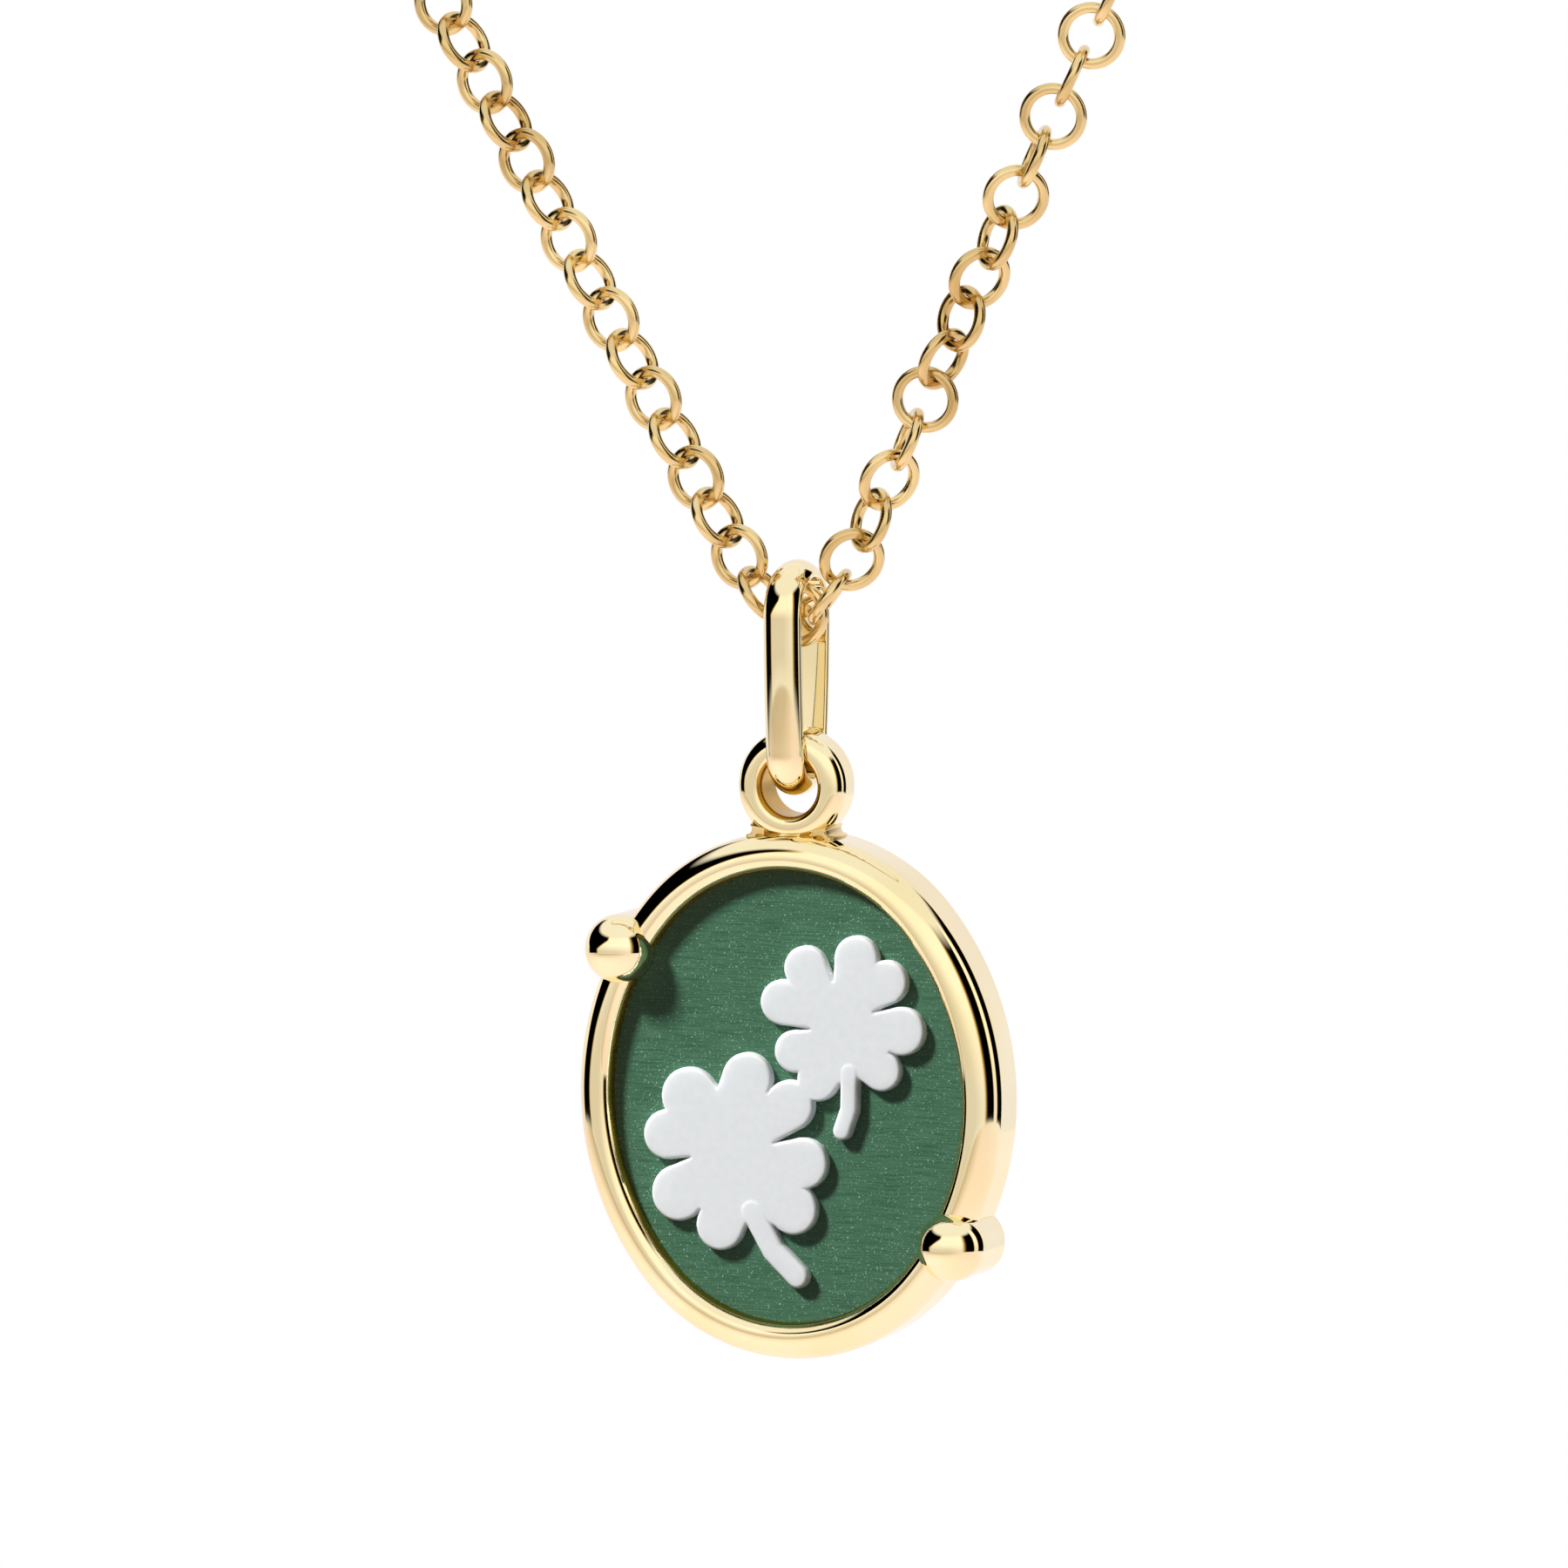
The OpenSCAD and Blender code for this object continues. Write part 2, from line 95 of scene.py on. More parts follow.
def turned_out(points, faces):
    """The same mesh with its faces looking outwards."""
    return (points, [f[::-1] for f in faces]) if volume(points, faces) < 0 else (points, faces)


def piece(name, points, faces, body, nodes, material, crease=0):
    """Makes one mesh piece in metres. Edges sharper than crease degrees stay, if it is given."""
    points, faces = turned_out(points, faces)
    mesh = bpy.data.meshes.new(name)
    mesh.from_pydata(points.tolist(), [], faces)
    mesh.validate()
    mesh.shade_smooth()
    if crease:
        mesh.set_sharp_from_angle(angle=math.radians(crease))
    mesh.materials.append(material)
    made = bpy.data.objects.new(name, mesh)
    bpy.context.scene.collection.objects.link(made)
    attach(made, body)
    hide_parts(*nodes)


def grid_faces(rows, columns, close_rows, close_columns):
    """Four-sided faces between successive rows of points."""
    made = []
    for i in range(rows if close_rows else rows - 1):
        for j in range(columns if close_columns else columns - 1):
            a, b = i * columns, (i + 1) % rows * columns
            k = (j + 1) % columns
            made.append([a + j, a + k, b + k, b + j])
    return made


def joined(parts):
    """One list of points and faces from several."""
    points, faces, start = [], [], 0
    for p, f in parts:
        points.append(p)
        faces += [[start + i for i in face] for face in f]
        start += len(p)
    return np.vstack(points), faces


def resampled(line, count, closed):
    """A line as count points, equally far apart along it."""
    line = np.asarray(line, float)
    if closed:
        line = np.vstack([line, line[:1]])
    far = np.concatenate([[0], np.cumsum(np.linalg.norm(np.diff(line, axis=0), axis=1))])
    at = np.linspace(0, far[-1], count + 1)[:-1] if closed else np.linspace(0, far[-1], count)
    return np.stack([np.interp(at, far, line[:, k]) for k in range(line.shape[1])], axis=1)


def softened(line, soft, count):
    """A closed outline with its corners rounded over a length of soft, as count points."""
    many = 720
    p = resampled(line, many, True)
    length = np.linalg.norm(np.roll(p, -1, axis=0) - p, axis=1).sum()
    wave = np.fft.fftfreq(many) * 2 * math.pi * many / length
    keep = np.exp(-0.5 * (wave * soft) ** 2)
    p = np.stack([np.fft.ifft(np.fft.fft(p[:, k]) * keep).real for k in (0, 1)], axis=1)
    return resampled(p, count, True)


def lathe(profile, steps, centre_x, centre_z, closed):
    """A profile of (radius, forward) turned about a line from front to back."""
    profile = np.asarray(profile, float)
    turn = np.linspace(0, 2 * math.pi, steps, endpoint=False)
    x = centre_x + profile[None, :, 0] * np.cos(turn)[:, None]
    z = centre_z + profile[None, :, 0] * np.sin(turn)[:, None]
    f = np.broadcast_to(profile[None, :, 1], x.shape)
    local = np.stack([x, f, z], axis=-1).reshape(-1, 3)
    return local, grid_faces(steps, len(profile), True, closed)


# ---- Nodes for the materials and the world

def add(tree, kind, inputs=(), **values):
    """A new node. Each input, by name or place, gets an output to link or a value to hold."""
    node = tree.nodes.new(kind)
    for key, value in values.items():
        setattr(node, key, value)
    for key, value in dict(inputs).items():
        if isinstance(value, bpy.types.NodeSocket):
            tree.links.new(value, node.inputs[key])
        else:
            node.inputs[key].default_value = value
    return node


def ramp(tree, factor, stops):
    """Colours at places along a factor."""
    node = add(tree, "ShaderNodeValToRGB", {"Fac": factor})
    elements = node.color_ramp.elements
    elements[0].position, elements[0].color = stops[0][0], (*stops[0][1], 1)
    elements[1].position, elements[1].color = stops[-1][0], (*stops[-1][1], 1)
    for at, colour in stops[1:-1]:
        elements.new(at).color = (*colour, 1)
    return node.outputs["Color"]


def mix(tree, factor, a, b, blend="MIX"):
    """Two colours mixed. Places 0, 6 and 7 of a colour mix are its factor, A and B."""
    return add(tree, "ShaderNodeMix", {0: factor, 6: a, 7: b}, data_type="RGBA",
               blend_type=blend).outputs[2]


def maths(tree, operation, *values):
    return add(tree, "ShaderNodeMath", dict(enumerate(values)), operation=operation).outputs[0]


def map_range(tree, value, start, end, low=0.0, high=1.0):
    """A value from start to end, brought to run from low to high."""
    return add(tree, "ShaderNodeMapRange",
               {"Value": value, "From Min": start, "From Max": end, "To Min": low,
                "To Max": high}).outputs["Result"]


def noise(tree, where, scale, detail, roughness=0.5):
    return add(tree, "ShaderNodeTexNoise", {"Vector": where, "Scale": scale, "Detail": detail,
                                            "Roughness": roughness})


def new_material(name):
    """A material, its node tree, its shader and the object's own coordinates."""
    material = bpy.data.materials.new(name)
    material.use_nodes = True
    tree = material.node_tree
    where = add(tree, "ShaderNodeTexCoord").outputs["Object"]
    return material, tree, tree.nodes["Principled BSDF"], where


def set_bump(tree, shader, height, strength, distance):
    """Bump on a shader, from a height."""
    lift = add(tree, "ShaderNodeBump", {"Height": height, "Strength": strength,
                                        "Distance": distance})
    tree.links.new(lift.outputs["Normal"], shader.inputs["Normal"])


def gold(name, pale, deep, rough, bump):
    """Gold with a fine unevenness, and a slightly deeper colour in places."""
    material, tree, shader, where = new_material(name)
    broad = noise(tree, where, 260, 2).outputs["Fac"]
    fine = noise(tree, where, 2600, 3).outputs["Fac"]
    gloss = map_range(tree, fine, 0.0, 1.0, rough * 0.7, rough * 1.3)
    tree.links.new(ramp(tree, broad, [(0.3, deep), (0.7, pale)]), shader.inputs["Base Color"])
    tree.links.new(gloss, shader.inputs["Roughness"])
    set_bump(tree, shader, broad, bump, 0.00002)
    shader.inputs["Metallic"].default_value = 1
    return material


def green_stone():
    """Green stone with fine wavy lines across it and a light speckle."""
    material, tree, shader, where = new_material("green_stone")
    sway = noise(tree, where, 640, 1).outputs["Color"]
    shift = add(tree, "ShaderNodeVectorMath", {0: sway, "Scale": 0.0002}, operation="SCALE")
    moved = add(tree, "ShaderNodeVectorMath", {0: where, 1: shift.outputs["Vector"]},
                operation="ADD")
    stretched = add(tree, "ShaderNodeMapping", {"Vector": moved.outputs["Vector"],
                                                "Scale": (620, 620, 17500)})
    lines = noise(tree, stretched.outputs["Vector"], 1, 3, 0.6).outputs["Fac"]
    colour = ramp(tree, lines, [(0.32, (0.032, 0.100, 0.053)), (0.50, (0.056, 0.153, 0.087)),
                                (0.70, (0.084, 0.205, 0.124))])
    grain = noise(tree, where, 15000, 1).outputs["Fac"]
    flecks = ramp(tree, grain, [(0.64, (0, 0, 0)), (0.76, (0.9, 0.9, 0.9))])
    speckled = mix(tree, flecks, colour, (0.36, 0.58, 0.46, 1))
    tree.links.new(speckled, shader.inputs["Base Color"])
    set_bump(tree, shader, lines, 0.25, 0.00003)
    shader.inputs["Roughness"].default_value = 0.5
    shader.inputs["Specular IOR Level"].default_value = 0.22
    return material


def white_relief():
    """White carved layer, almost matt, with a faint mottle."""
    material, tree, shader, where = new_material("white_relief")
    mottle = noise(tree, where, 3200, 4).outputs["Fac"]
    colour = ramp(tree, mottle, [(0.3, (0.84, 0.87, 0.885)), (0.7, (0.88, 0.90, 0.915))])
    tree.links.new(colour, shader.inputs["Base Color"])
    set_bump(tree, shader, mottle, 0.12, 0.00002)
    shader.inputs["Roughness"].default_value = 0.42
    shader.inputs["Subsurface Weight"].default_value = 0.7
    shader.inputs["Subsurface Radius"].default_value = (1, 1, 1)
    shader.inputs["Subsurface Scale"].default_value = 0.0005
    return material


GOLD = gold("gold", (0.96, 0.845, 0.56), (0.92, 0.785, 0.455), 0.05, 0.12)
CHAIN_GOLD = gold("chain_gold", (0.86, 0.68, 0.35), (0.62, 0.43, 0.17), 0.17, 0.9)
# Rough gold for the bevel, the ring's hole and the beads: the roughness is the finish, the deep
# amber colour is painted shade in these recesses.
ROUGH_GOLD_PAINTED_SHADE = gold("rough_gold_painted_shade", (0.66, 0.40, 0.06), (0.44, 0.23, 0.02), 0.28, 1.0)
SOLDER = gold("solder_gold", (0.93, 0.76, 0.40), (0.80, 0.56, 0.20), 0.32, 0.8)
GREEN = green_stone()
WHITE = white_relief()


# ---- Chain

# For each side: how far out in mm, and shares of the neck's reach and of its drop
ROUTE = [
    [[7, 0, 0.082], [12.8, 0, 0.164], [18.7, 0.007, 0.246], [30, 0.067, 0.41], [41, 0.16, 0.574],
     [50, 0.293, 0.738], [56, 0.48, 0.852], [54, 0.693, 0.926], [42, 0.88, 0.975],
     [24, 0.987, 1]],
    [[6, 0, 0.082], [10.7, 0, 0.164], [15.7, 0.007, 0.246], [27, 0.067, 0.41], [39, 0.16, 0.574],
     [49.5, 0.293, 0.738], [56, 0.48, 0.852], [54, 0.693, 0.926], [42, 0.88, 0.975],
     [24, 0.987, 1]],
]
# For each side: a link's number, and its turn about the chain in degrees
TWIST = [
    [[0, 0], [1, -8], [2, -17], [15, -17], [19, 5], [200, 5]],
    [[0, 0], [1, 10], [2, 40], [4, 54], [5, 28], [6, 10], [7, -18], [8, -32], [10, -44],
     [12, -66], [13, -74], [200, -74]],
]


def contacts(k):
    """Points where a side's links meet, from the bail to the clasp."""
    line = [[PITCH / 2 - 0.04, 0, 0], [PITCH * 1.12, 0, PITCH * 0.765]]
    line += [[x, NECK_REACH * y, NECK_DROP * z] for x, y, z in ROUTE[k]]
    line += [[x, NECK_REACH, NECK_DROP] for x in (CLASP_HALF + 2 * LINK_D, CLASP_HALF)]
    line = np.array(line, float)
    for _ in range(4):
        a, b = line[:-1], line[1:]
        cut = np.empty((2 * len(a), 3))
        cut[0::2], cut[1::2] = (3 * a + b) / 4, (a + 3 * b) / 4
        line = np.vstack([line[:1], cut, line[-1:]])
    length = np.linalg.norm(np.diff(line, axis=0), axis=1).sum()
    line = resampled(line, math.ceil(length / PITCH) + 1, False)
    line[:, 0] *= 2 * k - 1
    return HANG + line


def link_axes(along, roll):
    """Unit vectors along a link, across it in its plane, and square to its plane."""
    along = along / np.linalg.norm(along)
    u = np.cross(along, [0, 1, 0])
    u /= np.linalg.norm(u)
    v = np.cross(along, u)
    w = math.cos(math.radians(roll)) * u + math.sin(math.radians(roll)) * v
    return along, w, np.cross(along, w)


def link_mesh(a, b, roll, around, section):
    """One link: a ring of wire that is round outside and flatter inside."""
    along, w, n = link_axes(b - a, roll)
    centre = (a + b) / 2
    turn = np.linspace(0, 2 * math.pi, around, endpoint=False)
    s = np.linspace(0, 2 * math.pi, section, endpoint=False)
    c, h = np.cos(s), np.sin(s)
    middle = LINK_OUT - LINK_THICK / 2
    out = np.where(c > 0, c, np.sign(c) * np.abs(c) ** 0.62) * LINK_THICK / 2
    high = np.sign(h) * np.abs(h) ** np.where(c > 0, 1.0, 0.8) * LINK_HALF
    r = middle + out
    p = (centre[None, None, :]
         + (np.cos(turn)[:, None] * r[None, :])[..., None] * along
         + (np.sin(turn)[:, None] * r[None, :])[..., None] * w
         + np.broadcast_to(high[None, :, None], (around, section, 1)) * n)
    return turned_out(p.reshape(-1, 3) * 0.001, grid_faces(around, section, True, True))


def chain():
    """The middle link, which lies from left to right and holds the bail, and both strands."""
    right = np.array([1.0, 0, 0])
    near, far = [link_mesh(HANG - right, HANG + right, 0, *NEAR_STEPS)], []
    for k in (0, 1):
        c = contacts(k)
        for i in range(1, len(c)):
            roll = 90 * i + np.interp(i, *np.array(TWIST[k], float).T)
            links, steps = (near, NEAR_STEPS) if i <= NEAR_LINKS else (far, FAR_STEPS)
            links.append(link_mesh(c[i - 1], c[i], roll, *steps))
    for name, links in (("chain_front", near), ("chain_back", far)):
        points, faces = joined(links)
        piece(name, points, faces, "necklace", ["chain"], CHAIN_GOLD)


# ---- Bail

def bail():
    """A band, flat inside and round outside, carried round an arch, two limbs and a foot."""
    rise = BAIL_T - BAIL_EDGE
    arc_r = (BAIL_W ** 2 / 4 + rise ** 2) / (2 * rise)
    half = math.asin(BAIL_W / 2 / arc_r)
    section = [(0, -BAIL_W / 2)]
    section += [(BAIL_T - arc_r + arc_r * math.cos(t), arc_r * math.sin(t))
                for t in np.linspace(-half, half, 41)]
    section.append((0, BAIL_W / 2))
    section = softened(section, BAIL_SOFT, 48)
    stations = []

    def arc(centre_z, radius, start, end, steps):
        for t in np.linspace(start, end, steps):
            n = np.array([math.cos(t), math.sin(t)])
            stations.append((np.array([0, centre_z]) + radius * n, n))

    def limb(steps):
        base, n = stations[-1]
        foot = np.array([0, -FOOT_DROP]) + FOOT_R * n
        top = ARCH_R * n
        a, b = (top, foot) if abs(base[1] - top[1]) < 0.01 else (foot, top)
        for t in np.linspace(0, 1, steps + 1)[1:-1]:
            stations.append((a + (b - a) * t + n * BAIL_BULGE * t * (1 - t), n))

    arc(0, ARCH_R, LIMB_TURN, math.pi - LIMB_TURN, 72)
    limb(20)
    arc(-FOOT_DROP, FOOT_R, math.pi - LIMB_TURN, 2 * math.pi + LIMB_TURN, 60)
    limb(20)
    points = []
    for base, n in stations:
        side = base[None, :] + section[:, :1] * n[None, :]
        points.append(np.stack([section[:, 1], HANG[1] + side[:, 0], HANG[2] + side[:, 1]], axis=1))
    points = np.vstack(points) * 0.001
    faces = grid_faces(len(stations), len(section), True, True)
    piece("bail_ring", points, faces, "bail", ["bail"], GOLD)


# ---- Frame

def swept(profile):
    """Rows of points of a profile of (inwards, forward) carried round the oval's four arcs."""
    rows = []
    for centre, radius, start, end in [
        ((0, END_C), END_R, ARC_TURN, 180 - ARC_TURN),
        ((SIDE_C, 0), SIDE_R, 180 - ARC_TURN, 180 + ARC_TURN),
        ((0, -END_C), END_R, 180 + ARC_TURN, 360 - ARC_TURN),
        ((-SIDE_C, 0), SIDE_R, 360 - ARC_TURN, 360 + ARC_TURN),
    ]:
        r = radius - profile[:, 0]
        for turn in np.linspace(start, end, OVAL_STEPS, endpoint=False):
            t = math.radians(turn)
            rows.append(np.stack([centre[0] + r * math.cos(t), profile[:, 1],
                                  centre[1] + r * math.sin(t)], axis=1))
    return rows


def crest(t):
    """How far in and forward the rim's rounded front is at an angle from its outer side."""
    if t < math.pi / 2:
        return (TOP_IN * (1 - math.cos(t)), CREST - ROUND_F + ROUND_F * math.sin(t))
    return (TOP_IN - (RIM_W - TOP_IN) * math.cos(t), CREST - RIM_W / 2 * (1 - math.sin(t)))


def rim():
    """Rounded rim, side wall, back plate and the pocket that holds the stone."""
    shoulder = CREST - ROUND_F
    edge = 0.17
    profile = [(5.0, BACK), (3.0, BACK), (1.0, BACK), (edge + 0.03, BACK)]
    profile += [(edge - edge * math.sin(t), BACK + edge - edge * math.cos(t))
                for t in np.linspace(0, math.pi / 2, 9)]
    profile += [(0, BACK + edge + 0.04), (0, -0.2), (0, shoulder - 0.05)]
    profile += [crest(t) for t in np.linspace(0, math.radians(170), 64)]
    profile += [(RIM_W - 0.012, STONE_FACE + 0.02), (RIM_W - 0.03, STONE_FACE),
                (RIM_W - LIP, STONE_FACE), (RIM_W - LIP, FLOOR), (5.0, FLOOR)]
    rows, count = swept(np.array(profile)), len(profile)
    faces = grid_faces(len(rows), count, True, False)
    middle = len(rows) * count
    local = np.vstack(rows + [[[0, BACK, 0], [0, FLOOR, 0]]])
    for i in range(len(rows)):
        a, b = i * count, (i + 1) % len(rows) * count
        faces.append([a, b, middle])
        faces.append([b + count - 1, a + count - 1, middle + 1])
    return local, faces


def posts():
    """Ball-ended posts on the oval's two sides, cut where the stone passes."""
    centre_f = BALL_FRONT - POST_R
    edge = 0.2
    thin = 1e-5                                     # radius at the axis, so that no face closes up
    pocket = SIDE_R - RIM_W + LIP
    profile = [(max(thin, POST_R * math.sin(t)), centre_f + POST_R * math.cos(t))
               for t in np.linspace(0, math.pi / 2, 40)]
    profile += [(POST_R, STONE_FACE + 0.15), (POST_R, STONE_FACE), (POST_R, STONE_FACE - 0.001),
                (POST_R, 0), (POST_R, BACK + edge + 0.04)]
    profile += [(POST_R - edge + edge * math.cos(t), BACK + edge - edge * math.sin(t))
                for t in np.linspace(0, math.pi / 2, 9)]
    profile += [(0.6, BACK - 0.002), (thin, BACK - 0.002)]
    made = []
    for side in (1, -1):
        x = side * (SIDE_C - POST_AXIS_R * math.cos(math.radians(POST_TURN)))
        z = side * POST_AXIS_R * math.sin(math.radians(POST_TURN))
        local, faces = lathe(profile, 96, x, z, False)
        centre = np.array([side * SIDE_C, 0.0])
        away = local[:, [0, 2]] - centre
        far = np.linalg.norm(away, axis=1)
        low = (local[:, 1] < STONE_FACE - 0.0005) & (far < pocket)
        local[low, 0] = centre[0] + away[low, 0] / far[low] * pocket
        local[low, 2] = centre[1] + away[low, 1] / far[low] * pocket
        made.append(turned_out(local, faces))
    return made


def ring_section():
    """The top ring's section as (radius, forward), with rounded corners."""
    section = []
    for x, y, r, start in [
        (HOLE_R, -RING_HALF, HOLE_ROUND, 180), (RING_R, -RING_HALF, RING_ROUND, 270),
        (RING_R, RING_HALF, RING_ROUND, 0), (HOLE_R, RING_HALF, HOLE_ROUND, 90),
    ]:
        cx = x + r if x == HOLE_R else x - r
        cy = y + r if y < 0 else y - r
        for t in np.radians(np.linspace(start, start + 90, 13)):
            section.append((cx + r * math.cos(t), cy + r * math.sin(t)))
    return softened(section, 0.03, 96)


def top_ring():
    return turned_out(*lathe(ring_section(), RING_STEPS, 0, RING_Z, True))


def lump(x, f, z, size, seed):
    """A small uneven bead of solder."""
    steps = 20
    rng = np.random.default_rng(seed)
    waves = rng.normal(size=(6, 3)) * 1.6
    phase = rng.uniform(0, 6.28, 6)
    lat = np.linspace(0, math.pi, steps)
    lon = np.linspace(0, 2 * math.pi, 2 * steps, endpoint=False)
    d = np.stack([np.sin(lat)[None, :] * np.cos(lon)[:, None],
                  np.broadcast_to(np.cos(lat)[None, :], (2 * steps, steps)),
                  np.sin(lat)[None, :] * np.sin(lon)[:, None]], axis=-1).reshape(-1, 3)
    r = 1 + 0.05 * np.sin(d @ waves.T + phase).sum(axis=1)
    return turned_out(d * r[:, None] * np.array(size) + [x, f, z],
                      grid_faces(2 * steps, steps, True, False))


def solder():
    """Fillets at the ring's two feet."""
    fillet_r, root, half_depth = 0.28, OVAL_B - 0.7, 0.92
    fillet_z = OVAL_B + fillet_r - 0.15
    fillet_x = math.sqrt((RING_R + fillet_r) ** 2 - (RING_Z - fillet_z) ** 2)
    start = math.atan2(RING_Z - fillet_z, -fillet_x)
    curve = [(fillet_x + fillet_r * math.cos(t), fillet_z + fillet_r * math.sin(t))
             for t in np.linspace(start, 1.5 * math.pi, 16)]
    outline = np.array([(0.9, root), (0.9, RING_Z - 1.55)] + curve + [(fillet_x, root)])
    middle = np.array([1.25, OVAL_B - 0.05])
    count = len(outline)
    made = []
    for side in (-1, 1):
        rows = []
        for t in np.linspace(-math.pi / 2, math.pi / 2, 21):
            bulge = 0.55 + 0.45 * math.cos(t) ** 0.5
            at = middle + (outline - middle) * bulge
            forward = np.full(count, half_depth * math.sin(t))
            rows.append(np.stack([side * at[:, 0], forward, at[:, 1]], axis=1))
        faces = grid_faces(len(rows), count, False, True)
        last = (len(rows) - 1) * count
        faces += [list(range(count)), list(range(last, last + count))[::-1]]
        made.append(turned_out(np.vstack(rows), faces))
    return made


def rough_faces_painted_shade():
    """The bevel round the stone, the wall of the ring's hole and the beads of solder, in rough gold
    whose deep amber colour is painted shade in these recesses.
    """
    bevel = [crest(t) for t in np.radians(np.linspace(146, 168, 14))]
    bevel = [(r + 0.004, f + 0.006) for r, f in bevel]      # just clear of the rim
    bevel += [(RIM_W - 0.006, STONE_FACE + 0.05), (RIM_W - 0.006, STONE_FACE - 0.03),
              (RIM_W - 0.12, STONE_FACE - 0.03), (bevel[0][0] - 0.03, bevel[0][1] - 0.06)]
    bevel = resampled(bevel, 40, True)
    rows = swept(bevel)
    made = [turned_out(np.vstack(rows), grid_faces(len(rows), len(bevel), True, True))]
    wall = ring_section()
    wall = np.roll(wall, -int(np.argmax(wall[:, 0])), axis=0)
    wall = wall[wall[:, 0] < HOLE_R + 0.17]
    wall = np.vstack([wall - [0.006, 0], (wall + [0.06, 0])[::-1] * [1, 0.93]])
    made.append(turned_out(*lathe(wall, RING_STEPS, 0, RING_Z, True)))
    # Beads: x, forward and up on the pendant, and half sizes along those
    for i, (x, f, z, size) in enumerate([
        (-0.62, 0.86, 9.98, (0.44, 0.22, 0.11)), (0.05, 0.90, 9.96, (0.50, 0.22, 0.10)),
        (0.66, 0.86, 9.98, (0.40, 0.22, 0.12)), (1.22, 0.80, 9.98, (0.30, 0.22, 0.14)),
        (-1.2, 0.78, 10.0, (0.30, 0.18, 0.11)), (-5.62, 1.36, 6.05, (0.22, 0.14, 0.10)),
    ]):
        made.append(lump(x, f, z, size, 11 + i))
    return made


def frame_piece():
    """The frame as three pieces: polished gold, the fillets of solder, and the rough faces, whose
    deep amber colour is painted shade.
    """
    parts = [turned_out(*rim())] + posts() + [top_ring()]
    for name, pieces, material in (("gold_frame", parts, GOLD), ("ring_solder", solder(), SOLDER),
                                   ("rough_faces_painted_shade", rough_faces_painted_shade(), ROUGH_GOLD_PAINTED_SHADE)):
        local, faces = joined(pieces)
        points = place(local[:, 0], local[:, 1], local[:, 2])
        piece(name, points, faces, "pendant", ["frame"], material, 38)


# ---- Clover relief

# Lobes: turn in degrees, and distance and radius as shares of the clover's reach.
# Cuts between leaves, and points of a stem: turn, and distance as a share of the reach.
BIG_LOBES = [[42, 1.01, 0.343], [82, 1.02, 0.354], [133, 1.01, 0.393], [168, 1.025, 0.336],
             [214, 1.02, 0.377], [256, 1.01, 0.338], [318, 1.08, 0.343], [354, 0.95, 0.349]]
SMALL_LOBES = [[43, 0.94, 0.348], [79, 1.01, 0.365], [129, 1.04, 0.357], [166, 1.08, 0.357],
               [211, 0.975, 0.335], [244, 1.04, 0.34], [309, 0.965, 0.323], [353, 0.95, 0.384]]
BIG_CUTS = [[108, 0.92], [187, 0.67], [287, 0.8], [17, 0.56]]
SMALL_CUTS = [[107, 0.66], [194, 0.6], [276, 0.8], [19, 0.52]]
BIG_STEM = [[286, 0.8], [292, 1.4], [298, 1.84]]
SMALL_STEM = [[276, 0.8], [273, 1.39], [268.5, 1.72]]
BIG_REACH, SMALL_REACH, BIG_STEM_W, SMALL_STEM_W = 2.86, 2.45, 0.92, 0.74


def polar(turn, r):
    return np.array([r * math.cos(math.radians(turn)), r * math.sin(math.radians(turn))])


def lobe_c(lobe, reach):
    return polar(lobe[0], lobe[1] * reach)


BIG_C = np.array([-2.0, -2.25])
SMALL_C = (BIG_C + lobe_c(BIG_LOBES[0], BIG_REACH)
           + polar(JOIN_TURN, BIG_LOBES[0][2] * BIG_REACH + SMALL_LOBES[5][2] * SMALL_REACH
                   - JOIN_OVERLAP)
           - lobe_c(SMALL_LOBES[5], SMALL_REACH))


def tangent(tip, c, r, side):
    """Where a line from the tip of a cut touches a lobe, on one side of it."""
    d = c - tip
    far, inner = np.linalg.norm(d), 0.99 * r
    off = math.degrees(math.asin(min(1, inner / far)))
    turn = math.degrees(math.atan2(d[1], d[0])) + side * off
    return tip + polar(turn, math.sqrt(max(0, far * far - inner * inner)))


def segment_distance(x, z, a, b):
    """Distance to the straight line from a to b."""
    e = b - a
    px, pz = x - a[0], z - a[1]
    t = np.clip((px * e[0] + pz * e[1]) / (e @ e), 0, 1)
    return np.hypot(px - t * e[0], pz - t * e[1])


def polygon_distance(x, z, corners):
    """Distance to a polygon's outline, negative inside it."""
    best = np.full(x.shape, 1e9)
    inside = np.zeros(x.shape, bool)
    for a, b in zip(corners, np.roll(corners, -1, axis=0)):
        best = np.minimum(best, segment_distance(x, z, a, b))
        e = b - a
        if e[1] != 0:
            crosses = (a[1] > z) != (b[1] > z)
            inside ^= crosses & (x < a[0] + (z - a[1]) / e[1] * e[0])
    return np.where(inside, -best, best)


def smooth_min(a, b, k):
    """The smaller of two distances, blended where they differ by less than k."""
    h = np.clip(0.5 + 0.5 * (b - a) / k, 0, 1)
    return b * (1 - h) + a * h - k * h * (1 - h)


def leaf_distance(x, z, c, reach, lobes, cuts):
    """Distance to a clover's four leaves of two lobes each, negative inside them."""
    corners = []
    for k in range(4):
        tip = polar(cuts[k][0], cuts[k][1] * reach)
        a, b = lobes[2 * k + 1], lobes[(2 * k + 2) % 8]
        corners += [lobe_c(a, reach), tangent(tip, lobe_c(a, reach), a[2] * reach, 1), tip,
                    tangent(tip, lobe_c(b, reach), b[2] * reach, -1), lobe_c(b, reach)]
    far = polygon_distance(x, z, np.array(corners) + c)
    for lobe in lobes:
        centre = lobe_c(lobe, reach) + c
        far = smooth_min(far, np.hypot(x - centre[0], z - centre[1]) - lobe[2] * reach, 0.05)
    return far


